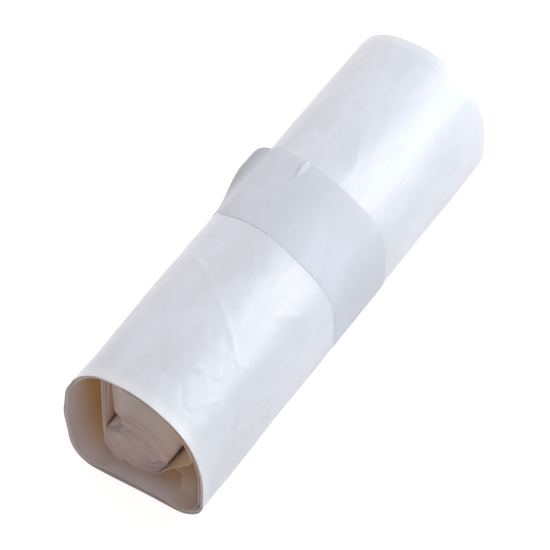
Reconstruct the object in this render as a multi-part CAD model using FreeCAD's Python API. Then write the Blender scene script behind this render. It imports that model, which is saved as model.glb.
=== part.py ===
import FreeCAD
import Part
import math
import os

from FreeCAD import Vector

# A coreless roll of thin white bin bags, lying on its side, with a strip of film round its middle.
# X runs across the roll, Y along it from the open near end to the far end, and Z upwards.
# The origin is on the table, under the middle of the roll. All sizes are in millimetres.

# The roll's outer form: a loose tube of film that has sagged flat underneath
web_width = 200.0
roll_width = 59.0
roll_height = 57.0
lower_left_radius = 12.0
lower_right_radius = 12.0
upper_right_radius = 33.0
crown_width = 4.0

# The wound web. One modelled turn stands for several plies of folded bag
turn_thickness = 0.40
turn_gap = 0.13
shell_turns = 4

# The tightly wound middle, which lies on the floor of the tube and has slid along it
core_radius = 13.0
core_shift = -3.6
core_seat_gap = 0.15
core_slide = 6.0
fold_half_length = 7.6
fold_half_thickness = 0.9
fold_tilt = -31.0
spans_per_turn = 8

# The loose stretch of web from the core to the tube's wall
join_angle = 29.0
join_radius = 9.0

# The innermost turn leaves the tube's wall and falls straight down beside the core
fall_side = -17.5
fall_head_radius = 8.0
fall_foot_radius = 10.0

# The strip of film round the middle
band_width = 37.0
band_start = -12.8
band_thickness = 0.30
band_slack = 0.05

# The slack of the strip. It opens like a mouth towards the far end, on the roll's left side
loop_near_lift = 0.3
loop_far_lift = 6.0
loop_crest = 0.85
loop_growth = 1.4
loop_upper_angle = 148.0
loop_points = 17
loop_crowding = 1.4
loop_spans = 4

turn_pitch = turn_thickness + turn_gap
upper_left_radius = roll_width - upper_right_radius - crown_width
floor_height = band_thickness + band_slack
left_side = -roll_width / 2
right_side = roll_width / 2
top_height = floor_height + roll_height


def polar(centre, radius, angle):
    # The point at an angle in degrees on a circle in the XZ plane
    turn = math.radians(angle)
    return (centre[0] + radius * math.cos(turn), centre[1] + radius * math.sin(turn))


# A route is a list of spans. Each span holds its middle and its end, and the middle of a straight one
# is None. A place on the route is (x, z, heading in degrees).


def place_on_arc(centre, radius, angle):
    # A place on an arc that is travelled anticlockwise
    return polar(centre, radius, angle) + (angle + 90.0,)


def arc_span(centre, radius, start_angle, end_angle):
    middle_angle = (start_angle + end_angle) / 2
    return (place_on_arc(centre, radius, middle_angle), place_on_arc(centre, radius, end_angle))


def line_span(end_place):
    return (None, end_place)


def corner_centres():
    # Centres of the tube's four rounded corners, which every turn shares
    lower_left = (left_side + lower_left_radius, floor_height + lower_left_radius)
    lower_right = (right_side - lower_right_radius, floor_height + lower_right_radius)
    upper_right = (right_side - upper_right_radius, top_height - upper_right_radius)
    upper_left = (left_side + upper_left_radius, top_height - upper_left_radius)
    return lower_left, lower_right, upper_right, upper_left


def top_spans(depth, start_angle, end_angle=180.0):
    # Over the top of the tube, from the upper right corner to the upper left one
    upper_right, upper_left = corner_centres()[2:]
    return [
        arc_span(upper_right, upper_right_radius - depth, start_angle, 90.0),
        line_span(place_on_arc(upper_left, upper_left_radius - depth, 90.0)),
        arc_span(upper_left, upper_left_radius - depth, 90.0, end_angle),
    ]


def bottom_spans(depth):
    # Under the tube, from the lower left corner to the foot of the upper right one
    lower_left, lower_right, upper_right = corner_centres()[:3]
    return [
        arc_span(lower_left, lower_left_radius - depth, 180.0, 270.0),
        line_span(place_on_arc(lower_right, lower_right_radius - depth, 270.0)),
        arc_span(lower_right, lower_right_radius - depth, 270.0, 360.0),
        line_span(place_on_arc(upper_right, upper_right_radius - depth, 0.0)),
    ]


def fall_spans(depth, foot_depth):
    # From the upper left corner straight down beside the core, and on to the floor of the next turn out
    centre_x, centre_z = corner_centres()[3]
    reach = upper_left_radius - depth - fall_head_radius
    head_x = fall_side + fall_head_radius
    head_angle = math.degrees(math.acos((head_x - centre_x) / reach))
    head = (head_x, centre_z + reach * math.sin(math.radians(head_angle)))
    foot = (fall_side + fall_foot_radius, floor_height + foot_depth + fall_foot_radius)
    return [
        arc_span((centre_x, centre_z), upper_left_radius - depth, 90.0, head_angle),
        arc_span(head, fall_head_radius, head_angle, 180.0),
        line_span(place_on_arc(foot, fall_foot_radius, 180.0)),
        arc_span(foot, fall_foot_radius, 180.0, 270.0),
    ]


def left_wall_end(depth):
    # The foot of the left wall, where each turn steps out to the next
    lower_left = corner_centres()[0]
    return place_on_arc(lower_left, lower_left_radius - depth, 180.0)


def turn_depth(index):
    # How far inside the tube's outer face the middle of a turn lies, counted from the outside
    return turn_thickness / 2 + index * turn_pitch


def core_centre():
    floor = floor_height + shell_turns * turn_pitch - turn_gap
    return (core_shift, floor + core_seat_gap + turn_thickness / 2 + core_radius)


def join_centre():
    # Centre of the arc on which the loose web runs into the tube's innermost turn
    upper_right = corner_centres()[2]
    inner_radius = upper_right_radius - turn_depth(shell_turns)
    return polar(upper_right, inner_radius - join_radius, join_angle)


def loose_web_heading():
    # Heading of the straight stretch that touches both the core and the join arc
    start = core_centre()
    end = join_centre()
    across = end[0] - start[0]
    up = end[1] - start[1]
    lean = math.asin((core_radius - join_radius) / math.hypot(across, up))
    return math.degrees(math.atan2(up, across) + lean)


def core_sweep():
    # The heart starts at one end of its flat fold, and the outside ends where the loose web leaves
    whole_turns = int((core_radius - fold_half_length) / turn_pitch)
    end_angle = loose_web_heading() - 90.0
    return 360.0 * whole_turns - (fold_tilt - end_angle) % 360.0, end_angle


def core_place(share):
    # A place on the core's spiral, which is flat at its heart and round outside
    sweep, end_angle = core_sweep()
    half_length = fold_half_length + share * (core_radius - fold_half_length)
    half_thickness = fold_half_thickness + share * (core_radius - fold_half_thickness)
    turn = math.radians(end_angle - sweep * (1 - share) - fold_tilt)
    tilt = math.radians(fold_tilt)
    along = half_length * math.cos(turn)
    across = half_thickness * math.sin(turn)
    centre = core_centre()
    x = centre[0] + along * math.cos(tilt) - across * math.sin(tilt)
    z = centre[1] + along * math.sin(tilt) + across * math.cos(tilt)
    heading = math.atan2(half_thickness * math.cos(turn), -half_length * math.sin(turn))
    return (x, z, math.degrees(heading) + fold_tilt)


def core_route():
    # From the heart of the core to where the web leaves it, and on to the join arc
    count = round(core_sweep()[0] * spans_per_turn / 360.0)
    spans = []
    for i in range(count):
        spans.append((core_place((i + 0.5) / count), core_place((i + 1) / count)))
    spans.append(line_span(place_on_arc(join_centre(), join_radius, loose_web_heading() - 90.0)))
    return core_place(0.0), spans


def shell_route():
    # From the join arc round the tube's turns to the web's outer end, high on the left
    start_angle = loose_web_heading() - 90.0
    inner = shell_turns - 1
    spans = [arc_span(join_centre(), join_radius, start_angle, join_angle)]
    spans += top_spans(turn_depth(shell_turns), join_angle)[:2]
    spans += fall_spans(turn_depth(shell_turns), turn_depth(inner))
    spans += bottom_spans(turn_depth(inner))[1:]
    spans += top_spans(turn_depth(inner), 0.0)
    for index in range(inner - 1, -1, -1):
        spans.append(line_span(left_wall_end(turn_depth(index))))
        spans += bottom_spans(turn_depth(index))
        spans += top_spans(turn_depth(index), 0.0)
    return place_on_arc(join_centre(), join_radius, start_angle), spans


def beside(place, offset):
    # The point at a distance to the left of a place, seen along its heading
    side = math.radians(place[2] + 90.0)
    return Vector(place[0] + offset * math.cos(side), 0.0, place[1] + offset * math.sin(side))


def side_edges(start, spans, offset):
    # One long side of the strip, as arcs and straight edges
    edges = []
    last = beside(start, offset)
    for middle, end in spans:
        point = beside(end, offset)
        if middle is None:
            edges.append(Part.LineSegment(last, point).toShape())
        else:
            edges.append(Part.Arc(last, beside(middle, offset), point).toShape())
        last = point
    return edges


def strip(start, spans, thickness, near, length):
    # A strip of film on a route, extruded along Y
    half = thickness / 2
    left = side_edges(start, spans, half)
    right = side_edges(start, spans, -half)
    cap_start = Part.LineSegment(beside(start, half), beside(start, -half)).toShape()
    end = spans[-1][1]
    cap_end = Part.LineSegment(beside(end, half), beside(end, -half)).toShape()
    wire = Part.Wire(left + [cap_end] + right[::-1] + [cap_start])
    face = Part.Face(wire)
    face.translate(Vector(0, near, 0))
    return face.extrude(Vector(0, length, 0))


def bag_roll():
    # The wound web: the core has slid towards the far end of the tube
    near = -web_width / 2
    shell_start, shell_spans = shell_route()
    shell = strip(shell_start, shell_spans, turn_thickness, near, web_width)
    core_start, core_spans = core_route()
    core = strip(core_start, core_spans, turn_thickness, near + core_slide, web_width)
    return shell.fuse(core)


def band_depth():
    # The strip's middle lies outside the tube's outer face, so its depth is negative
    return -(band_slack + band_thickness / 2)


def band_hoop():
    # The part of the strip that lies on the roll, from the foot of the left wall round to the loop's head
    depth = band_depth()
    spans = bottom_spans(depth) + top_spans(depth, 0.0, loop_upper_angle)
    return strip(left_wall_end(depth), spans, band_thickness, band_start, band_width)


def seat_place(share):
    # A place on the tight strip, at a share of the way from the loop's head down to its foot
    centre = corner_centres()[3]
    radius = upper_left_radius - band_depth()
    corner_length = math.radians(180.0 - loop_upper_angle) * radius
    wall_length = centre[1] - left_wall_end(band_depth())[1]
    travelled = share * (corner_length + wall_length)
    angle = loop_upper_angle + math.degrees(min(travelled, corner_length) / radius)
    x, z = polar(centre, radius, angle)
    return (x, z - max(0.0, travelled - corner_length), angle)


def loop_point(share, reach):
    # The loop's middle line, lifted off its seat
    x, z, angle = seat_place(share)
    lift = reach * math.sin(math.pi * share ** loop_crest)
    out = math.radians(angle)
    return (x + lift * math.cos(out), z + lift * math.sin(out))


def loop_side(reach, offset):
    # One face of the loop at a section, parallel to its middle line
    nudge = 0.002
    points = []
    for i in range(loop_points):
        # The points crowd together near the head, where the film turns up sharply
        share = (i / (loop_points - 1)) ** loop_crowding
        before = loop_point(max(0.0, share - nudge), reach)
        after = loop_point(min(1.0, share + nudge), reach)
        heading = math.degrees(math.atan2(after[1] - before[1], after[0] - before[0]))
        if i == 0:
            heading = loop_upper_angle + 90.0
        if i == loop_points - 1:
            heading = left_wall_end(0.0)[2]
        points.append(beside(loop_point(share, reach) + (heading,), offset))
    return points


def loop_section(travel):
    # The closed outline of the loop at a distance from the strip's near edge, in short straight runs
    half = band_thickness / 2
    growth = math.sin(math.pi / 2 * travel / band_width) ** loop_growth
    reach = loop_near_lift + (loop_far_lift - loop_near_lift) * growth
    place = Vector(0, band_start + travel, 0)
    inner = [point + place for point in loop_side(reach, half)]
    outer = [point + place for point in loop_side(reach, -half)]
    return Part.makePolygon(outer[:1] + inner + outer[::-1])


def wrap_band():
    step = band_width / loop_spans
    sections = [loop_section(i * step) for i in range(loop_spans + 1)]
    loop = Part.makeLoft(sections, True, True)
    return band_hoop().fuse(loop)


def main():
    os.makedirs("parts", exist_ok=True)
    pieces = {"bag_roll": bag_roll(), "wrap_band": wrap_band()}
    for name, shape in pieces.items():
        shape = shape.removeSplitter()
        box = shape.BoundBox
        print(name, "solids", len(shape.Solids), "valid", shape.isValid(), "volume", round(shape.Volume, 1))
        print("   x", round(box.XMin, 2), round(box.XMax, 2), "y", round(box.YMin, 2), round(box.YMax, 2),
              "z", round(box.ZMin, 2), round(box.ZMax, 2))
        shape.exportStep(os.path.join("parts", name + ".step"))
    shared = pieces["bag_roll"].common(pieces["wrap_band"]).Volume
    print("shared volume of the roll and the strip", round(shared, 4))


main()
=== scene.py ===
import bisect
import math

import bpy
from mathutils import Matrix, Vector, noise


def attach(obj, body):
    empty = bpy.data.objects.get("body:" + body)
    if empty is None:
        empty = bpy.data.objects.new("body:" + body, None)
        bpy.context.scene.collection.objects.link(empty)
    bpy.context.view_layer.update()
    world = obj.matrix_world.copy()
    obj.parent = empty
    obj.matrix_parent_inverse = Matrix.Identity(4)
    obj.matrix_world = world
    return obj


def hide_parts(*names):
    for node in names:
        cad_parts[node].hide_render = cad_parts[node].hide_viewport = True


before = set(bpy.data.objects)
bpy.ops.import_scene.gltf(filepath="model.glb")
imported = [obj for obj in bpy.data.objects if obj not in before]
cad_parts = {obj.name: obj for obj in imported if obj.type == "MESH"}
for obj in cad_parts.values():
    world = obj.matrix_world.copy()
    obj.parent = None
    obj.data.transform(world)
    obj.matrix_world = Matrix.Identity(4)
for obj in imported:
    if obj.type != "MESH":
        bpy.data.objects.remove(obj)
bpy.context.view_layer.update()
print("frame loaded")

# A coreless roll of thin white bin bags on a pale table. X runs across the roll, Y along it to the far end
# and Z upwards. All sizes are in metres.

mm = 0.001


# Camera, table and light

view = {
    "place": (0.4019, -0.6376, 0.9095),
    "turn": (40.31, 0.0, 32.459),      # degrees
    "lens": 202.83,
    "sensor": 36.0,
    "reach": 20.0,
}
windowColour = (0.85, 0.965, 1.0)
wallColour = (1.0, 0.985, 0.985)
lamps = (
    # Large soft light behind the right side, and its low part, which shows only as gloss on the right flank
    {"name": "window", "place": (0.42, 0.42, 0.48), "size": (0.46, 0.40), "power": 3.45,
     "colour": windowColour},
    {"name": "glint", "place": (0.72, 0.49, 0.28), "size": (0.44, 0.24), "power": 3.2,
     "colour": windowColour, "diffuse": False},
    # Overhead softbox
    {"name": "softbox", "place": (-0.28, 0.22, 1.30), "size": (1.4, 1.4), "power": 2.5,
     "colour": (1.0, 0.99, 0.98)},
    # Pale wall beyond the left side, and a weak fill that reaches into the near end
    {"name": "wall", "place": (-1.0, 0.72, 0.22), "size": (1.0, 0.30), "power": 7.4,
     "colour": wallColour, "gloss": False},
    {"name": "fill", "place": (0.40, -0.98, 0.36), "size": (0.4, 0.4), "power": 2.3,
     "colour": wallColour, "gloss": False},
)
room = {
    "level": 0.31,
    "colour": (1.0, 0.99, 0.98),
}
table = {
    "size": 6.0,
    "colour": (0.72, 0.70, 0.68),
    "cameraLevel": 0.74,               # what the camera sees over the lit table, so that it reads white
}


def addLamp(name, place, size, power, colour, gloss=True, diffuse=True):
    bpy.ops.object.light_add(type="AREA", location=place)
    lamp = bpy.context.object
    lamp.name = name
    lamp.data.shape = "RECTANGLE"
    lamp.data.size, lamp.data.size_y = size
    lamp.data.energy = power
    lamp.data.color = colour
    lamp.rotation_euler = (-Vector(place)).to_track_quat("-Z", "Y").to_euler()
    lamp.visible_glossy = gloss
    lamp.visible_diffuse = diffuse


def seenDirectly(nodes, links):
    # 1 for camera, glossy and transmission rays, 0 for the rays that light the object
    path = nodes.new("ShaderNodeLightPath")
    first = nodes.new("ShaderNodeMath")
    first.operation = "MAXIMUM"
    links.new(path.outputs["Is Camera Ray"], first.inputs[0])
    links.new(path.outputs["Is Glossy Ray"], first.inputs[1])
    second = nodes.new("ShaderNodeMath")
    second.operation = "MAXIMUM"
    links.new(first.outputs[0], second.inputs[0])
    links.new(path.outputs["Is Transmission Ray"], second.inputs[1])
    return second.outputs[0]


def makeCamera():
    bpy.ops.object.camera_add(location=view["place"])
    camera = bpy.context.object
    camera.rotation_euler = [math.radians(angle) for angle in view["turn"]]
    camera.data.lens = view["lens"]
    camera.data.sensor_width = view["sensor"]
    camera.data.clip_end = view["reach"]
    bpy.context.scene.camera = camera


def makeTable():
    bpy.ops.mesh.primitive_plane_add(size=table["size"])
    floor = bpy.context.object
    floor.name = "table"
    material = bpy.data.materials.new("paleTable")
    material.use_nodes = True
    nodes, links = material.node_tree.nodes, material.node_tree.links
    nodes.clear()
    matt = nodes.new("ShaderNodeBsdfDiffuse")
    matt.inputs["Color"].default_value = (*table["colour"], 1.0)
    glow = nodes.new("ShaderNodeEmission")
    level = nodes.new("ShaderNodeMath")
    level.operation = "MULTIPLY"
    level.inputs[1].default_value = table["cameraLevel"]
    links.new(seenDirectly(nodes, links), level.inputs[0])
    links.new(level.outputs[0], glow.inputs["Strength"])
    both = nodes.new("ShaderNodeAddShader")
    links.new(matt.outputs[0], both.inputs[0])
    links.new(glow.outputs[0], both.inputs[1])
    out = nodes.new("ShaderNodeOutputMaterial")
    links.new(both.outputs[0], out.inputs["Surface"])
    floor.data.materials.append(material)


def makeRoom():
    world = bpy.data.worlds.new("room")
    bpy.context.scene.world = world
    world.use_nodes = True
    nodes, links = world.node_tree.nodes, world.node_tree.links
    nodes.clear()
    air = nodes.new("ShaderNodeBackground")
    air.inputs["Color"].default_value = (*room["colour"], 1.0)
    air.inputs["Strength"].default_value = room["level"]
    white = nodes.new("ShaderNodeBackground")
    white.inputs["Strength"].default_value = 1.0
    pick = nodes.new("ShaderNodeMixShader")
    links.new(seenDirectly(nodes, links), pick.inputs["Fac"])
    links.new(air.outputs[0], pick.inputs[1])
    links.new(white.outputs[0], pick.inputs[2])
    out = nodes.new("ShaderNodeOutputWorld")
    links.new(pick.outputs[0], out.inputs["Surface"])


makeCamera()
makeTable()
for lamp in lamps:
    addLamp(**lamp)
makeRoom()
bpy.context.scene.view_settings.view_transform = "Standard"
print("camera, table and light made")


# The film's materials. endColour comes in along the roll between endFrom and endTo, measured from its middle

outerFilm = {
    "colour": (0.83, 0.82, 0.90),
    "shadeColour": (0.78, 0.766, 0.834),
    "endColour": (0.87, 0.86, 0.90),
    "endFrom": 94.0 * mm,         # painted highlight: the film is painted lighter by its ends for their bright rim, and partly the whitening of its stretched edges
    "endTo": 98.5 * mm,
    "paintedShadeColour": (0.50, 0.42, 0.37),    # painted shade on the lip of its floor at the near end
    "roughness": 0.39,
    "crinkle": 0.85,
    "crinkleSize": 5.5 * mm,
    "fineSize": 1.5 * mm,
}
# The same white film as the outer turn, painted darker and pinker: painted shade and warm bounce light inside
# the tube
shadedInnerFilm = {
    "colour": (0.73, 0.63, 0.63),
    "shadeColour": (0.69, 0.59, 0.58),
    "endColour": (0.83, 0.53, 0.26),
    "endFrom": 98.0 * mm,         # deeper in the roll the film is painted ochre, a painted shade for the tube's dark inside
    "endTo": 82.0 * mm,
    "roughness": 0.5,
    "crinkle": 0.8,
    "crinkleSize": 4.0 * mm,
    "fineSize": 1.2 * mm,
}
# The same film again, painted darker and warmer by its ends for the shade in the open ends
shadedCoreFilm = {
    "colour": (0.77, 0.62, 0.59),
    "shadeColour": (0.73, 0.57, 0.53),
    "endColour": (0.98, 0.91, 0.87),
    "endFrom": 95.5 * mm,         # painted shade by its ends; behind them the core keeps a paler colour
    "endTo": 88.0 * mm,
    "paintedShadeColour": (0.86, 0.57, 0.32),    # painted ochre shade on the web beside and under it
    "roughness": 0.5,
    "crinkle": 0.8,
    "crinkleSize": 4.0 * mm,
    "fineSize": 1.2 * mm,
}
bandFilm = {
    "colour": (0.76, 0.755, 0.845),
    "shadeColour": (0.715, 0.71, 0.785),
    "endColour": (0.76, 0.755, 0.845),
    "endFrom": 60.0 * mm,
    "endTo": 80.0 * mm,
    "paintedShadeColour": (0.52, 0.53, 0.57),    # painted shade on its slack, which is also greyer as one ply with nothing behind it
    "roughness": 0.68,
    "crinkle": 0.6,
    "crinkleSize": 7.0 * mm,
    "fineSize": 1.8 * mm,
}
filmIor = 1.5
bumpHeight = 0.25 * mm
crinkleNoise = {
    "lean": 33.0,                 # degrees
    "stretch": 0.42,
    "dentDetail": 2.0,
    "dentDistortion": 0.6,
    "creaseDetail": 1.0,
    "creaseDistortion": 1.2,
    "creaseWidth": 0.13,
    "creaseHeight": 0.045,        # this and the next against the dents
    "fineHeight": 0.16,
    "fineDetail": 3.0,
    "mottleScale": 46.0,
    "mottleDetail": 4.0,
    "mottleRoughness": 0.62,
    "mottleFrom": 0.38,
    "mottleTo": 0.64,
}


def newNode(tree, kind, place, **values):
    node = tree.nodes.new(kind)
    node.location = place
    for name, value in values.items():
        setattr(node, name, value)
    return node


def makeCrinkleGroup():
    # Thin film never lies quite smooth: broad dents, short soft creases and a faint milky mottle.
    # It reads the flat film's own measure, so the creases follow the film wherever it goes
    tree = bpy.data.node_groups.new("filmCrinkle", "ShaderNodeTree")
    face = tree.interface
    face.new_socket("Flat", in_out="INPUT", socket_type="NodeSocketVector")
    face.new_socket("CrinkleScale", in_out="INPUT", socket_type="NodeSocketFloat")
    face.new_socket("FineScale", in_out="INPUT", socket_type="NodeSocketFloat")
    face.new_socket("Height", in_out="OUTPUT", socket_type="NodeSocketFloat")
    face.new_socket("Mottle", in_out="OUTPUT", socket_type="NodeSocketFloat")
    source = newNode(tree, "NodeGroupInput", (-1200, 0))
    result = newNode(tree, "NodeGroupOutput", (600, 0))
    link = tree.links.new

    lean = newNode(tree, "ShaderNodeMapping", (-1000, 100))
    lean.inputs["Rotation"].default_value = (0.0, 0.0, math.radians(crinkleNoise["lean"]))
    lean.inputs["Scale"].default_value = (1.0, crinkleNoise["stretch"], 1.0)
    link(source.outputs["Flat"], lean.inputs["Vector"])

    dents = newNode(tree, "ShaderNodeTexNoise", (-700, 300), noise_dimensions="2D")
    dents.inputs["Detail"].default_value = crinkleNoise["dentDetail"]
    dents.inputs["Distortion"].default_value = crinkleNoise["dentDistortion"]
    link(lean.outputs[0], dents.inputs["Vector"])
    link(source.outputs["CrinkleScale"], dents.inputs["Scale"])

    # A crease is where a noise passes its middle value
    field = newNode(tree, "ShaderNodeTexNoise", (-700, 0), noise_dimensions="2D")
    field.inputs["Detail"].default_value = crinkleNoise["creaseDetail"]
    field.inputs["Distortion"].default_value = crinkleNoise["creaseDistortion"]
    link(lean.outputs[0], field.inputs["Vector"])
    link(source.outputs["CrinkleScale"], field.inputs["Scale"])
    middle = newNode(tree, "ShaderNodeMath", (-500, 0), operation="SUBTRACT")
    middle.inputs[1].default_value = 0.5
    link(field.outputs[0], middle.inputs[0])
    distance = newNode(tree, "ShaderNodeMath", (-340, 0), operation="ABSOLUTE")
    link(middle.outputs[0], distance.inputs[0])
    crease = newNode(tree, "ShaderNodeMapRange", (-180, 0), interpolation_type="SMOOTHSTEP")
    crease.inputs["From Min"].default_value = 0.0
    crease.inputs["From Max"].default_value = crinkleNoise["creaseWidth"]
    crease.inputs["To Min"].default_value = 1.0
    crease.inputs["To Max"].default_value = 0.0
    link(distance.outputs[0], crease.inputs["Value"])

    fine = newNode(tree, "ShaderNodeTexNoise", (-700, -300), noise_dimensions="2D")
    fine.inputs["Detail"].default_value = crinkleNoise["fineDetail"]
    link(lean.outputs[0], fine.inputs["Vector"])
    link(source.outputs["FineScale"], fine.inputs["Scale"])

    low = newNode(tree, "ShaderNodeMath", (20, 200), operation="MULTIPLY_ADD")
    low.inputs[1].default_value = crinkleNoise["creaseHeight"]
    link(crease.outputs[0], low.inputs[0])
    link(dents.outputs[0], low.inputs[2])
    height = newNode(tree, "ShaderNodeMath", (200, 100), operation="MULTIPLY_ADD")
    height.inputs[1].default_value = crinkleNoise["fineHeight"]
    link(fine.outputs[0], height.inputs[0])
    link(low.outputs[0], height.inputs[2])
    link(height.outputs[0], result.inputs["Height"])

    mottle = newNode(tree, "ShaderNodeTexNoise", (-700, -600), noise_dimensions="2D")
    mottle.inputs["Scale"].default_value = crinkleNoise["mottleScale"]
    mottle.inputs["Detail"].default_value = crinkleNoise["mottleDetail"]
    mottle.inputs["Roughness"].default_value = crinkleNoise["mottleRoughness"]
    link(lean.outputs[0], mottle.inputs["Vector"])
    spread = newNode(tree, "ShaderNodeMapRange", (-400, -600), interpolation_type="SMOOTHSTEP")
    spread.inputs["From Min"].default_value = crinkleNoise["mottleFrom"]
    spread.inputs["From Max"].default_value = crinkleNoise["mottleTo"]
    link(mottle.outputs[0], spread.inputs["Value"])
    link(spread.outputs[0], result.inputs["Mottle"])
    return tree


crinkleGroup = makeCrinkleGroup()


def makeFilm(name, film):
    material = bpy.data.materials.new(name)
    material.use_nodes = True
    tree = material.node_tree
    link = tree.links.new
    shader = tree.nodes["Principled BSDF"]
    shader.inputs["Roughness"].default_value = film["roughness"]
    shader.inputs["IOR"].default_value = filmIor
    flat = newNode(tree, "ShaderNodeUVMap", (-900, 0))
    flat.uv_map = "UVMap"
    crinkle = newNode(tree, "ShaderNodeGroup", (-650, 0), node_tree=crinkleGroup)
    crinkle.inputs["CrinkleScale"].default_value = 1.0 / film["crinkleSize"]
    crinkle.inputs["FineScale"].default_value = 1.0 / film["fineSize"]
    link(flat.outputs[0], crinkle.inputs["Flat"])
    tint = newNode(tree, "ShaderNodeMix", (-350, 200), data_type="RGBA")
    tint.inputs["A"].default_value = (*film["shadeColour"], 1.0)
    tint.inputs["B"].default_value = (*film["colour"], 1.0)
    link(crinkle.outputs["Mottle"], tint.inputs["Factor"])
    place = newNode(tree, "ShaderNodeTexCoord", (-900, 500))
    apart = newNode(tree, "ShaderNodeSeparateXYZ", (-700, 500))
    link(place.outputs["Object"], apart.inputs[0])
    along = newNode(tree, "ShaderNodeMath", (-600, 500), operation="ABSOLUTE")
    link(apart.outputs["Y"], along.inputs[0])
    end = newNode(tree, "ShaderNodeMapRange", (-450, 500), interpolation_type="SMOOTHSTEP")
    end.inputs["From Min"].default_value = film["endFrom"]
    end.inputs["From Max"].default_value = film["endTo"]
    link(along.outputs[0], end.inputs["Value"])
    edge = newNode(tree, "ShaderNodeMix", (-150, 300), data_type="RGBA")
    edge.inputs["B"].default_value = (*film["endColour"], 1.0)
    link(end.outputs[0], edge.inputs["Factor"])
    link(tint.outputs["Result"], edge.inputs["A"])
    colour = edge.outputs["Result"]
    # Painted shade: where the loose attribute marks it, the colour goes towards this darker colour
    if "paintedShadeColour" in film:
        loose = newNode(tree, "ShaderNodeAttribute", (-350, 700), attribute_name="loose")
        thin = newNode(tree, "ShaderNodeMix", (0, 500), data_type="RGBA")
        thin.inputs["B"].default_value = (*film["paintedShadeColour"], 1.0)
        link(loose.outputs["Fac"], thin.inputs["Factor"])
        link(colour, thin.inputs["A"])
        colour = thin.outputs["Result"]
    link(colour, shader.inputs["Base Color"])
    bump = newNode(tree, "ShaderNodeBump", (-350, -200))
    bump.inputs["Strength"].default_value = film["crinkle"]
    bump.inputs["Distance"].default_value = bumpHeight
    link(crinkle.outputs["Height"], bump.inputs["Height"])
    link(bump.outputs[0], shader.inputs["Normal"])
    return material


outerFilmMaterial = makeFilm("outerFilm", outerFilm)
shadedInnerFilmMaterial = makeFilm("shadedInnerFilm", shadedInnerFilm)
shadedCoreFilmMaterial = makeFilm("shadedCoreFilm", shadedCoreFilm)
bandFilmMaterial = makeFilm("bandFilm", bandFilm)
print("film materials made")


# The roll's section: a loose tube of film, sagged flat underneath

tube = {
    "width": 59.0 * mm,
    "height": 57.0 * mm,
    "floor": 0.35 * mm,
    "lowerLeft": 12.0 * mm,      # corner radii
    "lowerRight": 12.0 * mm,
    "upperRight": 33.0 * mm,
    "upperLeft": 22.0 * mm,
    "near": -100.0 * mm,
    "far": 100.0 * mm,
}


def sectionSpans():
    # The section's corners and straights, anticlockwise from under the lower right corner.
    # A corner is (length, centre, radius, start angle), a straight (length, start, end, outward direction)
    left, right = -tube["width"] / 2, tube["width"] / 2
    low, high = tube["floor"], tube["floor"] + tube["height"]
    corners = (
        (right - tube["lowerRight"], low + tube["lowerRight"], tube["lowerRight"], -90.0),
        (right - tube["upperRight"], high - tube["upperRight"], tube["upperRight"], 0.0),
        (left + tube["upperLeft"], high - tube["upperLeft"], tube["upperLeft"], 90.0),
        (left + tube["lowerLeft"], low + tube["lowerLeft"], tube["lowerLeft"], 180.0),
    )
    spans = []
    for i, (x, z, radius, start) in enumerate(corners):
        spans.append((math.pi / 2 * radius, Vector((x, 0.0, z)), radius, math.radians(start)))
        after = corners[(i + 1) % 4]
        turn = math.radians(start + 90.0)
        outwards = Vector((math.cos(turn), 0.0, math.sin(turn)))
        begin = Vector((x, 0.0, z)) + outwards * radius
        end = Vector((after[0], 0.0, after[1])) + outwards * after[2]
        spans.append(((end - begin).length, begin, end, outwards))
    return spans


tubeSpans = sectionSpans()
tubeMarks = [0.0]
for span in tubeSpans:
    tubeMarks.append(tubeMarks[-1] + span[0])
rightWallTop = tubeMarks[2]
upperLeftStart = tubeMarks[4]
wallFoot = tubeMarks[6]
girth = tubeMarks[-1]


def onTube(arc, depth):
    # The point at a length round the outer face, and a depth inside it
    arc = arc % girth
    index = min(bisect.bisect_right(tubeMarks, arc) - 1, len(tubeSpans) - 1)
    span = tubeSpans[index]
    along = arc - tubeMarks[index]
    if index % 2 == 0:
        angle = span[3] + along / span[2]
        outwards = Vector((math.cos(angle), 0.0, math.sin(angle)))
        return span[1] + outwards * (span[2] - depth)
    share = along / span[0]
    return span[1].lerp(span[2], share) - span[3] * depth


def onTable(arc, marks):
    # 1 where the section lies on the table, 0 elsewhere. The marks are where that comes and where it goes
    comeFrom, comeTo, goFrom, goTo = marks
    return min(1.0, smooth(arc, comeFrom, comeTo) + 1.0 - smooth(arc, goFrom, goTo))


# Where the tube has slumped in or bulged out, all its layers together. The push is outwards, in x and z
slumps = (
    {"at": (-26.0 * mm, 45.5 * mm), "push": (0.95 * mm, -0.75 * mm), "size": 8.5 * mm, "far": 0.55},
    {"at": (-29.5 * mm, 25.5 * mm), "push": (-1.0 * mm, 0.0), "size": 6.5 * mm, "far": 0.0},
    {"at": (-28.0 * mm, 11.0 * mm), "push": (0.5 * mm, 0.0), "size": 5.5 * mm, "far": 0.0},
)
slumpReach = {
    "near": (-86.0 * mm, -48.0 * mm),     # along the roll, where the near end's full slump fades
    "beyondBand": (24.0 * mm, 50.0 * mm),
    "beyondBandLess": 0.35,
}


def settled(point):
    near = 1.0 - smooth(point.y, *slumpReach["near"])
    away = 1.0 - slumpReach["beyondBandLess"] * smooth(point.y, *slumpReach["beyondBand"])
    for slump in slumps:
        gap = math.hypot(point.x - slump["at"][0], point.z - slump["at"][1]) / slump["size"]
        amount = math.exp(-gap * gap) * (near + (1.0 - near) * slump["far"] * away)
        point = point + Vector((slump["push"][0], 0.0, slump["push"][1])) * amount
    return point


# Film laid where a function puts each of its points
def steps(*runs):
    # Marks along a length: each run is (start, end, spacing)
    marks = [runs[0][0]]
    for start, end, spacing in runs:
        count = max(1, round((end - start) / spacing))
        for i in range(count):
            marks.append(start + (end - start) * (i + 1) / count)
    return marks


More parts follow.
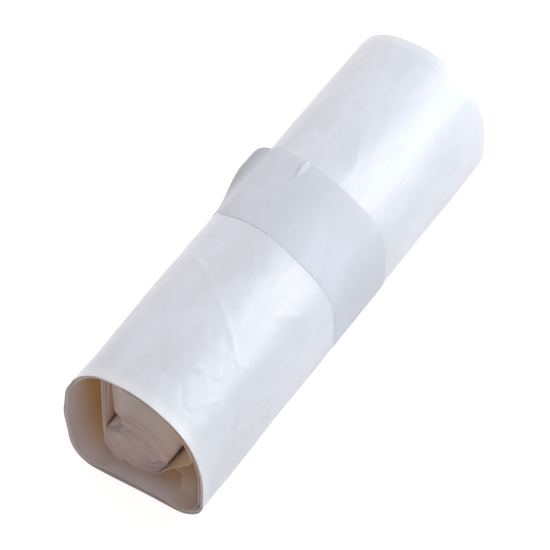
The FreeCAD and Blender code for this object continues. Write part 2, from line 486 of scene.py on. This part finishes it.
def smooth(value, low, high):
    share = min(1.0, max(0.0, (value - low) / (high - low)))
    return share * share * (3.0 - 2.0 * share)


def wander(seed, x, y=0.0):
    # Smooth random value from -1 to 1, the same on every run
    return noise.noise(Vector((x, y, 7.3 * seed)))


crispAngle = 35.0


def layFilm(name, columns, rows, place, thickness, offset, material, nodes, loose=None):
    # A flat grid of film is laid where place(along the web, across the web) puts each of its points
    bpy.ops.object.select_all(action="DESELECT")
    bpy.ops.mesh.primitive_grid_add(
        x_subdivisions=len(columns) - 1, y_subdivisions=len(rows) - 1, size=1.0, calc_uvs=True
    )
    piece = bpy.context.object
    piece.name = name
    piece.data.name = name
    mesh = piece.data
    flat = []
    for vertex in mesh.vertices:
        column = round((vertex.co.x + 0.5) * (len(columns) - 1))
        row = round((0.5 - vertex.co.y) * (len(rows) - 1))
        flat.append((columns[column], rows[row]))
    for vertex, (along, across) in zip(mesh.vertices, flat):
        vertex.co = settled(place(along, across))
    layer = mesh.uv_layers[0]
    layer.name = "UVMap"
    for loop in mesh.loops:
        layer.data[loop.index].uv = flat[loop.vertex_index]
    # The loose mask marks where the colour is painted with shade
    if loose:
        mark = mesh.attributes.new("loose", "FLOAT", "POINT")
        for item, (along, across) in zip(mark.data, flat):
            item.value = loose(along, across)
    wall = piece.modifiers.new("film", "SOLIDIFY")
    wall.thickness = thickness
    wall.offset = offset
    wall.use_even_offset = False
    bpy.ops.object.modifier_apply(modifier=wall.name)
    bpy.ops.object.shade_smooth_by_angle(angle=math.radians(crispAngle))
    mesh.materials.append(material)
    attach(piece, "root")
    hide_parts(*nodes)
    return piece


# The outermost turn, with its folds and creases. Its marks are measured round the section

outerTurn = {
    "thickness": 0.12 * mm,
    "step": 0.20 * mm,                    # how far it steps in where it starts under its own end
    "stepReach": 26.0 * mm,
    "seam": 111.0 * mm,                   # round the section, where it starts and ends
    "curl": 0.35 * mm,                    # of its free corner at the near end
    "curlReach": 3.5 * mm,
    "mouth": 5.0 * mm,                    # length of the near end's flare
    "mouthFlare": 0.05 * mm,
    "flareMarks": (158.0 * mm, 164.0 * mm, 3.0 * mm, 12.0 * mm),
    # Where the painted shade on the near end's floor lip lies
    "lipMarks": (152.0 * mm, 162.0 * mm, 1.0 * mm, 9.0 * mm),
    "lipReach": (1.5 * mm, 4.0 * mm),
    "edgeWander": 0.35 * mm,
    "edgeWanderSize": 21.0 * mm,
    "farReach": (92.0 * mm, 100.0 * mm),  # along the roll, where the far edge's wander comes in
    "dentHeight": 0.30 * mm,
    "dentSize": 15.0 * mm,
    "dentStretch": 0.45,
    "rippleShare": 0.5,                   # leaning dents, against the others
    "rippleLean": (0.6, -0.4),
    "rippleSize": (9.0 * mm, 26.0 * mm),
    "crinkleHeight": 0.085 * mm,
    "crinkleSize": 4.6 * mm,
    "crinkleLean": -0.7,
    "crinkleStretch": 2.6,
    "patchSize": (24.0 * mm, 30.0 * mm),  # of the areas with more crinkles and with fewer
    "patchLeast": 0.35,
    "patchEdge": (-0.2, 0.35),
    "bandFrom": (-17.0 * mm, -12.5 * mm),
    "bandTo": (24.0 * mm, 28.0 * mm),
    "bandLess": 0.85,                     # how much flatter the film is under the strip
    "floorMarks": (158.0 * mm, 164.0 * mm, 2.0 * mm, 12.0 * mm),
    "floorLess": 0.95,
}

# Folds that the photo shows: from and to are (round the section, along the roll) in mm
folds = (
    {"from": (102.0, -29.5), "to": (29.0, -81.6), "height": 0.15, "width": 1.1},
    {"from": (75.4, -83.1), "to": (66.2, -74.5), "height": 0.36, "width": 1.0},
    {"from": (74.7, -86.7), "to": (64.4, -77.0), "height": -0.30, "width": 1.0},
    {"from": (66.5, -85.6), "to": (62.0, -91.5), "height": -0.15, "width": 0.9},
    {"from": (59.7, -76.4), "to": (56.9, -73.2), "height": -0.15, "width": 1.1},
    {"from": (70.0, -66.0), "to": (50.0, -60.0), "height": 0.11, "width": 1.8},
    {"from": (84.0, -58.0), "to": (70.0, -46.0), "height": -0.16, "width": 1.6},
    {"from": (52.0, -70.0), "to": (38.0, -56.0), "height": -0.12, "width": 1.8},
    {"from": (60.0, -40.0), "to": (46.0, -26.0), "height": 0.16, "width": 1.8},
    {"from": (102.4, -23.9), "to": (88.8, -23.8), "height": -0.12, "width": 0.8},
    {"from": (100.8, -31.0), "to": (87.7, -36.2), "height": -0.12, "width": 1.3},
    {"from": (60.4, -90.5), "to": (52.4, -78.0), "height": 0.14, "width": 1.0},
    {"from": (46.5, -89.5), "to": (49.8, -84.0), "height": -0.14, "width": 0.9},
    {"from": (90.0, 96.0), "to": (68.0, 30.0), "height": 0.12, "width": 2.0},
    {"from": (62.0, 98.0), "to": (64.0, 28.0), "height": -0.10, "width": 2.4},
)
foldFade = 0.12      # share of a fold's length over which each of its ends fades


def foldRelief(arc, along):
    # Sum of the ridges and grooves at a place, all in mm
    total = 0.0
    for fold in folds:
        x0, y0 = fold["from"]
        x1, y1 = fold["to"]
        dx, dy = x1 - x0, y1 - y0
        length = math.hypot(dx, dy)
        share = ((arc - x0) * dx + (along - y0) * dy) / (length * length)
        if share < -foldFade or share > 1.0 + foldFade:
            continue
        side = ((along - y0) * dx - (arc - x0) * dy) / length
        fade = smooth(share, -foldFade, foldFade) * (1.0 - smooth(share, 1.0 - foldFade, 1.0 + foldFade))
        total += fold["height"] * fade * math.exp(-((side / fold["width"]) ** 2))
    return total


def rollRelief(arc, across):
    # How far the outer film stands off its smooth shape
    size = outerTurn["dentSize"]
    dents = wander(1, arc / size, across / size * outerTurn["dentStretch"])
    leanX, leanY = outerTurn["rippleLean"]
    sizeX, sizeY = outerTurn["rippleSize"]
    ripples = wander(2, (arc + leanX * across) / sizeX, (across + leanY * arc) / sizeY)
    dents += outerTurn["rippleShare"] * ripples
    size = outerTurn["crinkleSize"]
    fineX = (arc + outerTurn["crinkleLean"] * across) / size
    fine = wander(3, fineX, across / size / outerTurn["crinkleStretch"])
    sizeX, sizeY = outerTurn["patchSize"]
    cloud = wander(4, arc / sizeX, across / sizeY)
    least = outerTurn["patchLeast"]
    patches = least + (1.0 - least) * smooth(cloud, *outerTurn["patchEdge"])
    height = outerTurn["dentHeight"] * dents + outerTurn["crinkleHeight"] * fine * patches
    height += foldRelief(arc / mm, across / mm) * mm
    underBand = smooth(across, *outerTurn["bandFrom"]) * (1.0 - smooth(across, *outerTurn["bandTo"]))
    height *= 1.0 - outerTurn["bandLess"] * underBand
    return height * (1.0 - outerTurn["floorLess"] * onTable(arc, outerTurn["floorMarks"]))


def placeOuterTurn(along, across):
    arc = outerTurn["seam"] + along
    section = arc % girth
    inwards = across - tube["near"]
    depth = outerTurn["step"] * (1.0 - smooth(along, 0.0, outerTurn["stepReach"]))
    height = rollRelief(section, across)
    mouth = 1.0 - smooth(inwards, 0.0, outerTurn["mouth"])
    height += outerTurn["mouthFlare"] * mouth * (1.0 - onTable(section, outerTurn["flareMarks"]))
    reach = outerTurn["curlReach"]
    corner = smooth(along, girth - reach, girth) * (1.0 - smooth(inwards, 0.0, reach))
    height += outerTurn["curl"] * corner
    point = onTube(arc, depth - height)
    edge = arc / outerTurn["edgeWanderSize"]
    point.y = across + outerTurn["edgeWander"] * wander(5, edge) * mouth
    point.y -= outerTurn["edgeWander"] * wander(6, edge) * smooth(across, *outerTurn["farReach"])
    return point


def outerLipPaintedShade(along, across):
    # 1 on the lip of the near end's floor, where its colour is painted with shade
    section = (outerTurn["seam"] + along) % girth
    lip = 1.0 - smooth(across - tube["near"], *outerTurn["lipReach"])
    return onTable(section, outerTurn["lipMarks"]) * lip


def makeOuterTurn():
    # The marks are closest where the film faces the camera
    columns = steps(
        (0.0, 32.0 * mm, 1.6 * mm),
        (32.0 * mm, 108.0 * mm, 1.8 * mm),
        (108.0 * mm, girth, 0.75 * mm),
    )
    rows = steps(
        (tube["near"], -13.0 * mm, 0.85 * mm),
        (-13.0 * mm, 24.0 * mm, 2.6 * mm),
        (24.0 * mm, tube["far"], 1.1 * mm),
    )
    layFilm(
        "outerTurn", columns, rows, placeOuterTurn, outerTurn["thickness"], -1.0,
        outerFilmMaterial, ["bag_roll"], loose=outerLipPaintedShade,
    )


makeOuterTurn()
print("outer turn laid")


# The turns inside it, whose edges make the pale rim of the open ends

innerTurns = {
    "count": 6,
    "pitch": 0.20 * mm,
    "first": 0.62 * mm,                   # depth of the outermost of them
    "thickness": 0.12 * mm,
    "start": 60.0 * mm,                   # round the section
    "columnStep": 2.0 * mm,
    "endFrom": 94.0 * mm,                 # along the roll. The reaches below are counted from it
    "flare": 0.42 * mm,                   # at the ends they come up to the outer turn
    "flareReach": (0.0, 6.0 * mm),
    "floorGap": 1.3 * mm,                 # at the ends they part from the outer turn's floor
    "floorGapReach": (-6.0 * mm, 4.0 * mm),
    "floorFrom": (160.0 * mm, 168.0 * mm),
    "floorTo": 6.0 * mm,
    "partedTurns": (0.9, 1.1),            # counted from the outermost, which stays down
    "followReach": (-6.0 * mm, -2.0 * mm),
    "waver": 0.10 * mm,
    "waverSize": (13.0 * mm, 30.0 * mm),
    "edgeReach": (-4.0 * mm, 6.0 * mm),
    "edgeWander": 0.6 * mm,
    "edgeWanderLeast": 0.25,
    "edgeWanderSize": 34.0 * mm,
}
innerRows = (-100.0, -99.2, -98.0, -96.0, -92.0, -80.0, -50.0, 0.0, 50.0, 80.0, 92.0, 96.0, 98.0, 99.2, 100.0)


def placeInnerTurns(along, across):
    inwards = innerTurns["count"] - along / girth
    depth = innerTurns["first"] + innerTurns["pitch"] * inwards
    arc = innerTurns["start"] + along
    section = arc % girth
    past = abs(across) - innerTurns["endFrom"]
    depth -= innerTurns["flare"] * smooth(past, *innerTurns["flareReach"])
    onFloor = smooth(section, *innerTurns["floorFrom"])
    onFloor *= 1.0 - smooth(section, girth - innerTurns["floorTo"], girth)
    parted = smooth(inwards, *innerTurns["partedTurns"]) * smooth(past, *innerTurns["floorGapReach"])
    depth += innerTurns["floorGap"] * onFloor * parted
    sizeX, sizeY = innerTurns["waverSize"]
    depth += innerTurns["waver"] * wander(11, along / sizeX, across / sizeY)
    depth -= rollRelief(section, across) * smooth(past, *innerTurns["followReach"])
    point = onTube(arc, depth)
    sign = 1.0 if across > 0.0 else -1.0
    end = smooth(past, *innerTurns["edgeReach"])
    least = innerTurns["edgeWanderLeast"]
    slip = least + (1.0 - least) * (0.5 + 0.5 * wander(12, along / innerTurns["edgeWanderSize"], sign))
    point.y = across - sign * end * innerTurns["edgeWander"] * slip
    return point


def makeInnerTurns():
    columns = steps((0.0, innerTurns["count"] * girth, innerTurns["columnStep"]))
    rows = [row * mm for row in innerRows]
    layFilm(
        "innerTurns", columns, rows, placeInnerTurns, innerTurns["thickness"], 0.0,
        shadedInnerFilmMaterial, ["bag_roll"],
    )


makeInnerTurns()
print("inner turns laid")


# The tight middle and the loose stretch of web that joins it to the tube

core = {
    "centre": (-3.6 * mm, 15.69 * mm),
    "radius": 13.0 * mm,
    "turns": 13,
    "spansPerTurn": 120,
    "columnStep": 1.25 * mm,
    "halfLength": 7.4 * mm,               # the flat fold at its heart
    "halfThickness": 0.8 * mm,
    "tilt": -31.0,                        # degrees
    "groupDepth": 0.018,                  # its turns lie in loose groups, with wider gaps between some
    "groupRate": 19.0,
    "slide": 6.0 * mm,                    # how far it has slid into the near end
    "slideReach": 80.0 * mm,              # along the roll, where the falling web's own slide fades
    "thickness": 0.14 * mm,
    "crumple": 1.7 * mm,
    "crumpleSize": (8.0 * mm, 60.0 * mm),
    "crumpleReach": (-30.0 * mm, 12.0 * mm),
    "edgeReach": (88.0 * mm, 100.0 * mm),
    "edgeWander": 1.1 * mm,
    "edgeWanderSize": (17.0 * mm, 5.0 * mm),
    "looseEdgeLess": 0.7,
}
# Gaps between its turns, as they show in its near end: x and z, length along the turn, and width
coreGaps = (
    {"at": (-7.8 * mm, 24.0 * mm), "length": 2.4 * mm, "width": 2.4 * mm},
    {"at": (1.6 * mm, 18.8 * mm), "length": 2.2 * mm, "width": 2.2 * mm},
    {"at": (5.6 * mm, 14.6 * mm), "length": 2.6 * mm, "width": 1.8 * mm},
    {"at": (-2.6 * mm, 12.4 * mm), "length": 3.0 * mm, "width": 1.4 * mm},
    {"at": (-9.6 * mm, 16.6 * mm), "length": 2.4 * mm, "width": 1.2 * mm},
)
gapPush = {
    "share": 0.6,                         # of a gap's width, to each side
    "edge": 0.15 * mm,
    "reach": 3.0 * mm,
}
looseWeb = {
    "heading": 53.67,                     # degrees, where it leaves the core
    "joinCentre": (15.46 * mm, 34.86 * mm),
    "joinRadius": 9.0 * mm,
    "joinAngle": 29.0,
    "depth": 2.25 * mm,                   # how deep it lies under the tube's ceiling
    "straightSpans": 24,
    "joinSpans": 16,
    "floorSpans": 100,
    "floorReach": 18.0 * mm,              # beyond each end of the lower right corner and the right wall
    "farSlide": (-6.0 * mm, 14.0 * mm),   # along the web, where the core's slide ends at the far end
    # How much painted shade the web takes as it leaves the core, and where it fades
    "shade": 0.7,
    "shadeFrom": 8.0 * mm,
    "shadeTo": (4.0 * mm, 16.0 * mm),
}
# From the ceiling the web falls beside the core and passes under it. Its plies have parted there
fall = {
    "sides": (-17.5 * mm, -16.4 * mm, -14.7 * mm, -12.3 * mm),
    "headRadii": (8.0 * mm, 7.0 * mm, 5.8 * mm, 4.2 * mm),
    "leans": (0.0, 0.035, 0.08, 0.03),
    "footRadius": 10.0 * mm,
    "straightSpans": 24,
    "landingRadius": 3.2 * mm,            # where the innermost ply turns on to the top of the core
    "landingEnd": 35.0,                   # degrees round the core
    "landingSpans": 12,
    "ceilingStep": 0.8 * mm,
    "arcStep": 0.6 * mm,
    "columnStep": 1.0 * mm,
    "floorDepth": 1.95 * mm,
    "plyStep": 0.16 * mm,                 # how much deeper each inner ply lies under the ceiling
    "clearance": 0.45 * mm,               # between the core and the innermost ply
    "restStep": 0.15 * mm,                # and further out for each ply outside it
    "lead": 16.0 * mm,                    # how far the inner plies follow the ceiling
    "lowest": 15.0 * mm,                  # height where the inner plies have met again
    "length": 72.0 * mm,                  # along the web, up to its foot
    "slideFrom": 22.0 * mm,               # along the web, where the core's slide comes in again and goes
    "slideTo": 30.0 * mm,
    # Where the falling web takes its painted shade
    "shadeFrom": 14.0 * mm,
    "shadeEnds": (80.0 * mm, 97.0 * mm),  # along the roll
    "hang": 0.5 * mm,
    "hangSize": (20.0 * mm, 32.0 * mm),
    "edgeWander": 1.2 * mm,
    "edgeWanderLeast": 0.6,
    "edgeWanderSize": 18.0 * mm,
}
# Marks across the web in mm, closest at its two ends
webRows = (100.0, 99.3, 98.3, 97.0, 95.0, 92.0, 86.0, 76.0, 60.0, 40.0, 15.0)


def corePoint(share):
    # A place on the coil, from its flat heart (0) to its round outside (1)
    leave = math.radians(looseWeb["heading"] - 90.0)
    tilt = math.radians(core["tilt"])
    turn = leave - 2.0 * math.pi * core["turns"] * (1.0 - share) - tilt
    grouped = share + core["groupDepth"] * math.sin(share * core["groupRate"]) * (1.0 - share)
    longHalf = core["halfLength"] + grouped * (core["radius"] - core["halfLength"])
    shortHalf = core["halfThickness"] + grouped * (core["radius"] - core["halfThickness"])
    along = longHalf * math.cos(turn)
    across = shortHalf * math.sin(turn)
    x = core["centre"][0] + along * math.cos(tilt) - across * math.sin(tilt)
    z = core["centre"][1] + along * math.sin(tilt) + across * math.cos(tilt)
    point = Vector((x, 0.0, z))
    for gap in coreGaps:
        point += partedBy(gap, point)
    return point


def partedBy(gap, point):
    # A gap pushes the turns beyond it outwards and the others inwards
    centre = Vector((core["centre"][0], 0.0, core["centre"][1]))
    middle = Vector((gap["at"][0], 0.0, gap["at"][1]))
    outwards = (middle - centre).normalized()
    beyond = (point - middle).dot(outwards)
    beside = (point - middle - outwards * beyond).length / gap["length"]
    push = math.tanh(beyond / gapPush["edge"]) * gapPush["share"] * gap["width"]
    return outwards * push * math.exp(-beside * beside) * math.exp(-abs(beyond) / gapPush["reach"])


def crumpled(point, across, amount):
    # The whole coil is squashed about as one, so its turns stay clear of each other
    size, length = core["crumpleSize"]
    place = Vector((point.x / size, across / length, point.z / size))
    sideways = noise.noise(place + Vector((3.1, 0.0, 8.7)))
    upwards = noise.noise(place + Vector((21.4, 0.0, 5.2)))
    return point + Vector((sideways, 0.0, upwards)) * (amount * core["crumple"])


def arcPoints(x, z, radius, start, end):
    # Points on an arc, its angles in degrees
    count = max(4, round(abs(math.radians(end - start)) * radius / fall["arcStep"]))
    angles = [math.radians(start + (end - start) * i / count) for i in range(count + 1)]
    return [Vector((x + radius * math.cos(angle), 0.0, z + radius * math.sin(angle))) for angle in angles]


def landingPoints(top):
    # Straight down from the ceiling, and in one small bend on to the top of the core
    coreX, coreZ = core["centre"]
    over = core["radius"] + fall["clearance"]
    bend = fall["landingRadius"]
    bendX = top.x + bend
    bendZ = coreZ + math.sqrt((over + bend) ** 2 - (bendX - coreX) ** 2)
    landing = math.degrees(math.atan2(bendZ - coreZ, bendX - coreX))
    count = fall["landingSpans"]
    points = [Vector((top.x, 0.0, top.z + (bendZ - top.z) * i / count)) for i in range(1, count + 1)]
    points += arcPoints(bendX, bendZ, bend, 180.0, 180.0 + landing)[1:]
    return points + arcPoints(coreX, coreZ, over, landing, fall["landingEnd"])[1:]


def restOnCore(point, ply, headZ):
    # Each ply leans as it falls, and further down it lies against the core
    coreX, coreZ = core["centre"]
    if point.x < coreX:
        point.x -= fall["leans"][ply] * max(0.0, headZ - point.z)
    inner = len(fall["sides"]) - 1 - ply
    reach = core["radius"] + fall["clearance"] + inner * fall["restStep"]
    up = point.z - coreZ
    if ply > 0 and abs(up) < reach:
        point.x = min(point.x, coreX - math.sqrt(reach * reach - up * up))


def fallPoints(ply, ceilingFrom):
    # From a mark on the ceiling over the head of a ply's fall, down, and round its foot on to the floor
    side, radius, foot = fall["sides"][ply], fall["headRadii"][ply], fall["footRadius"]
    depth = looseWeb["depth"] + ply * fall["plyStep"]
    cornerX = -tube["width"] / 2 + tube["upperLeft"]
    cornerZ = tube["floor"] + tube["height"] - tube["upperLeft"]
    reach = tube["upperLeft"] - depth - radius
    headAngle = math.acos((side + radius - cornerX) / reach)
    headZ = cornerZ + reach * math.sin(headAngle)
    headMark = upperLeftStart + (headAngle - math.pi / 2) * tube["upperLeft"]
    count = max(4, round((headMark - ceilingFrom) / fall["ceilingStep"]))
    points = [onTube(ceilingFrom + (headMark - ceilingFrom) * i / count, depth) for i in range(count + 1)]
    points += arcPoints(side + radius, headZ, radius, math.degrees(headAngle), 180.0)[1:]
    if ply == len(fall["sides"]) - 1:
        return points + landingPoints(points[-1])
    footZ = tube["floor"] + fall["floorDepth"] + foot
    count = fall["straightSpans"]
    points += [Vector((side, 0.0, headZ + (footZ - headZ) * i / count)) for i in range(1, count + 1)]
    points += arcPoints(side + foot, footZ, foot, 180.0, 270.0)[1:]
    for point in points:
        restOnCore(point, ply, headZ)
    return points


def lengthsOf(points):
    lengths = [0.0]
    for before, after in zip(points, points[1:]):
        lengths.append(lengths[-1] + (after - before).length)
    return lengths


def onRoute(points, lengths, along):
    index = min(bisect.bisect_right(lengths, along) - 1, len(points) - 2)
    share = (along - lengths[index]) / (lengths[index + 1] - lengths[index])
    return points[index].lerp(points[index + 1], share)


def makeCoreRoute():
    # Points along the whole route, and the lengths from its start to them and to the ends of its parts
    count = core["spansPerTurn"] * core["turns"]
    points = [corePoint(i / count) for i in range(count + 1)]
    ends = [count]
    joinX, joinZ = looseWeb["joinCentre"]
    radius = looseWeb["joinRadius"]
    touch = math.radians(looseWeb["heading"] - 90.0)
    join = math.radians(looseWeb["joinAngle"])
    start = points[-1]
    end = Vector((joinX + radius * math.cos(touch), 0.0, joinZ + radius * math.sin(touch)))
    count = looseWeb["straightSpans"]
    points += [start.lerp(end, i / count) for i in range(1, count + 1)]
    count = looseWeb["joinSpans"]
    for i in range(1, count + 1):
        angle = touch + (join - touch) * i / count
        points.append(Vector((joinX + radius * math.cos(angle), 0.0, joinZ + radius * math.sin(angle))))
    ends.append(len(points) - 1)
    points += fallPoints(0, rightWallTop + join * tube["upperRight"])[1:]
    ends.append(len(points) - 1)
    under = girth - looseWeb["floorReach"]
    run = 2.0 * looseWeb["floorReach"] + rightWallTop
    count = looseWeb["floorSpans"]
    points += [onTube(under + run * i / count, fall["floorDepth"]) for i in range(1, count + 1)]
    lengths = lengthsOf(points)
    return points, lengths, [lengths[mark] for mark in ends]


corePoints, coreLengths, (coreLength, joinLength, fallEnd) = makeCoreRoute()
fallStart = fallEnd - fall["length"]


def placeCore(along, across):
    crumpleFrom, crumpleTo = core["crumpleReach"]
    crumple = 1.0 - smooth(along, coreLength + crumpleFrom, coreLength + crumpleTo)
    point = crumpled(onRoute(corePoints, coreLengths, along), across, crumple)
    loose = smooth(along, coreLength, joinLength)
    if across > 0.0:
        slideFrom, slideTo = looseWeb["farSlide"]
        loose = smooth(along, coreLength + slideFrom, coreLength + slideTo)
    falling = smooth(along, fallStart, fallStart + fall["slideFrom"])
    falling *= 1.0 - smooth(along, fallEnd, fallEnd + fall["slideTo"])
    falling *= 1.0 - smooth(across, 0.0, core["slideReach"])
    slide = core["slide"] * (1.0 - loose + falling)
    sign = 1.0 if across > 0.0 else -1.0
    end = smooth(abs(across), *core["edgeReach"])
    longSize, shortSize = core["edgeWanderSize"]
    slip = wander(21, along / longSize, sign) + 0.5 * wander(22, along / shortSize, sign)
    slip = core["edgeWander"] * (0.5 + 0.6 * slip) * (1.0 - core["looseEdgeLess"] * loose)
    point.y = across + slide - sign * end * slip
    return point


def coreWebPaintedShade(along, across):
    # 1 where the web has left the core and lies in the tube's dark depth, where it is painted with ochre
    # shade
    joining = looseWeb["shade"] * smooth(along, coreLength, coreLength + looseWeb["shadeFrom"])
    shadeFrom, shadeTo = looseWeb["shadeTo"]
    joining *= 1.0 - smooth(along, joinLength + shadeFrom, joinLength + shadeTo)
    deep = smooth(along, fallStart - fall["shadeFrom"], fallStart)
    deep *= 1.0 - smooth(abs(across), *fall["shadeEnds"])
    return max(joining, deep)


def endRows():
    return [-row * mm for row in webRows] + [row * mm for row in reversed(webRows)]


def makeCore():
    columns = steps((0.0, coreLengths[-1], core["columnStep"]))
    layFilm(
        "core", columns, endRows(), placeCore, core["thickness"], 0.0,
        shadedCoreFilmMaterial, ["bag_roll"], loose=coreWebPaintedShade,
    )


def makeFallPly(ply, material):
    # An inner ply of the same web, from the ceiling down to where the plies meet again
    points = fallPoints(ply, upperLeftStart - fall["lead"])
    while points[-1].z < fall["lowest"]:
        points.pop()
    lengths = lengthsOf(points)
    sizeX, sizeY = fall["hangSize"]

    def place(along, across):
        point = onRoute(points, lengths, along)
        hang = math.sin(math.pi * along / lengths[-1])
        point.x += fall["hang"] * hang * wander(40 + ply, along / sizeX, across / sizeY)
        end = smooth(abs(across), *core["edgeReach"])
        sign = 1.0 if across > 0.0 else -1.0
        slip = fall["edgeWanderLeast"] + wander(45 + ply, along / fall["edgeWanderSize"], sign)
        slide = core["slide"] * smooth(along, 0.0, fall["lead"])
        slide *= 1.0 - smooth(across, 0.0, core["slideReach"])
        point.y = across - sign * end * fall["edgeWander"] * slip + slide
        return point

    columns = steps((0.0, lengths[-1], fall["columnStep"]))
    layFilm(
        "fallPly" + str(ply), columns, endRows(), place, core["thickness"], 0.0,
        material, ["bag_roll"],
    )


makeCore()
makeFallPly(1, shadedInnerFilmMaterial)
makeFallPly(2, shadedInnerFilmMaterial)
makeFallPly(3, shadedCoreFilmMaterial)
print("core, loose web and fall laid")


# The strip of film round the middle

band = {
    "width": 37.0 * mm,
    "thickness": 0.10 * mm,
    "rowCount": 46,
    "lift": 0.15 * mm,                    # how far its middle lies off the roll
    "edgeLift": 0.06 * mm,                # and its edges
    "edgeReach": 2.0 * mm,
    "edgeRelief": 0.4,
    "floorMarks": (156.0 * mm, 162.0 * mm, 2.0 * mm, 12.0 * mm),
    "deepest": 0.06 * mm,
    "wrinkle": 0.10 * mm,
    "wrinkleSize": (22.0 * mm, 4.2 * mm),
    "crossShare": 0.6,
    "crossSize": (8.0 * mm, 9.0 * mm),
    "slackNear": 0.1 * mm,                # its slack on the roll's left side, at its near and far edge
    "slackFar": 6.0 * mm,
    "slackReach": (-0.02, 0.80),
    "slackCrest": 0.85,
    "slackHead": 148.0,                   # degrees on the upper left corner
    # Slack at which the painted shade is full, and where round the section it fades
    "paintedShadeSlack": 3.0 * mm,
    "paintedShadeEnd": (124.0 * mm, 142.0 * mm),
}
# The pinched fold by its far edge and the hollow beside it. Places, widths and reaches are in mm
pinch = {
    "height": 1.7 * mm,
    "place": 84.3,
    "lean": 0.06,
    "leanFrom": 20.0,
    "width": 0.8,
    "reach": (13.0, 25.0),
    "hollowDepth": 0.14 * mm,
    "hollowPlace": 86.2,
    "hollowWidth": 1.1,
    "hollowReach": (13.0, 24.0),
}

# Its edges are not quite straight: (round the section, along the roll) in mm
nearEdge = ((0.0, -11.5), (31.9, -11.5), (43.8, -11.9), (50.3, -12.7), (57.7, -13.5), (65.1, -13.8),
            (72.0, -13.3), (78.1, -12.3), (87.3, -11.7), (92.3, -11.6), (97.5, -11.2), (100.0, -10.6),
            (103.6, -9.1), (108.5, -6.0), (121.0, -4.5), (144.0, -8.0), (165.0, -11.5), (198.2, -11.5))
farEdge = ((0.0, 25.5), (49.0, 25.5), (56.2, 24.1), (62.7, 23.5), (69.0, 23.7), (74.4, 23.6), (83.9, 25.4),
           (88.1, 25.7), (93.1, 26.5), (96.8, 27.6), (101.4, 29.6), (108.5, 32.3), (121.0, 33.0),
           (144.0, 29.5), (165.0, 25.5), (198.2, 25.5))


def edgeAt(edge, arc):
    for (before, low), (after, high) in zip(edge, edge[1:]):
        if arc <= after:
            return (low + (high - low) * (arc - before) / (after - before)) * mm
    return edge[-1][1] * mm


headArc = upperLeftStart + math.radians(band["slackHead"] - 90.0) * tube["upperLeft"]


def bandSlack(arc, share):
    # How far the strip stands off the roll. Its slack opens like a mouth towards the far end
    if arc < headArc or arc > wallFoot:
        return 0.0
    travel = (arc - headArc) / (wallFoot - headArc)
    widest = band["slackNear"] + (band["slackFar"] - band["slackNear"]) * smooth(share, *band["slackReach"])
    return widest * math.sin(math.pi * travel ** band["slackCrest"])


def bandRelief(arc, across):
    # The pinched fold, and faint wrinkles along and across the strip
    x, y = arc / mm, across / mm
    beside = (x - pinch["place"] + pinch["lean"] * (y - pinch["leanFrom"])) / pinch["width"]
    ridge = math.exp(-(beside ** 2)) * smooth(y, *pinch["reach"])
    beside = (x - pinch["hollowPlace"]) / pinch["hollowWidth"]
    hollow = math.exp(-(beside ** 2)) * smooth(y, *pinch["hollowReach"])
    sizeX, sizeY = band["wrinkleSize"]
    wrinkles = wander(31, arc / sizeX, across / sizeY)
    sizeX, sizeY = band["crossSize"]
    wrinkles += band["crossShare"] * wander(32, arc / sizeX, across / sizeY)
    return pinch["height"] * ridge - pinch["hollowDepth"] * hollow + band["wrinkle"] * wrinkles


def placeBand(along, share):
    arc = (wallFoot + along) % girth
    near, far = edgeAt(nearEdge, arc / mm), edgeAt(farEdge, arc / mm)
    across = near + (far - near) * share
    height = max(-band["deepest"], bandRelief(arc, across)) * (1.0 - onTable(arc, band["floorMarks"]))
    inner = smooth(min(share, 1.0 - share) * band["width"], 0.0, band["edgeReach"])
    height *= band["edgeRelief"] + (1.0 - band["edgeRelief"]) * inner
    lift = band["edgeLift"] + (band["lift"] - band["edgeLift"]) * inner
    point = onTube(arc, -(lift + height + bandSlack(arc, share)))
    point.y = across
    return point


def bandSlackPaintedShade(along, share):
    # Painted shade on the strip's slack: darkest where it turns away from the light, and less so lower down
    arc = (wallFoot + along) % girth
    return smooth(bandSlack(arc, share), 0.0, band["paintedShadeSlack"]) * (1.0 - smooth(arc, *band["paintedShadeEnd"]))


def makeBand():
    columns = steps(
        (0.0, 60.0 * mm, 2.5 * mm),
        (60.0 * mm, girth - 115.0 * mm, 1.5 * mm),
        (girth - 115.0 * mm, girth, 0.6 * mm),
    )
    rows = [i / band["rowCount"] for i in range(band["rowCount"] + 1)]
    piece = layFilm(
        "wrapBand", columns, rows, placeBand, band["thickness"], 0.0,
        bandFilmMaterial, ["wrap_band"], loose=bandSlackPaintedShade,
    )
    layer = piece.data.uv_layers[0]
    for item in layer.data:
        item.uv = (item.uv[0], item.uv[1] * band["width"])


makeBand()
print("band laid")
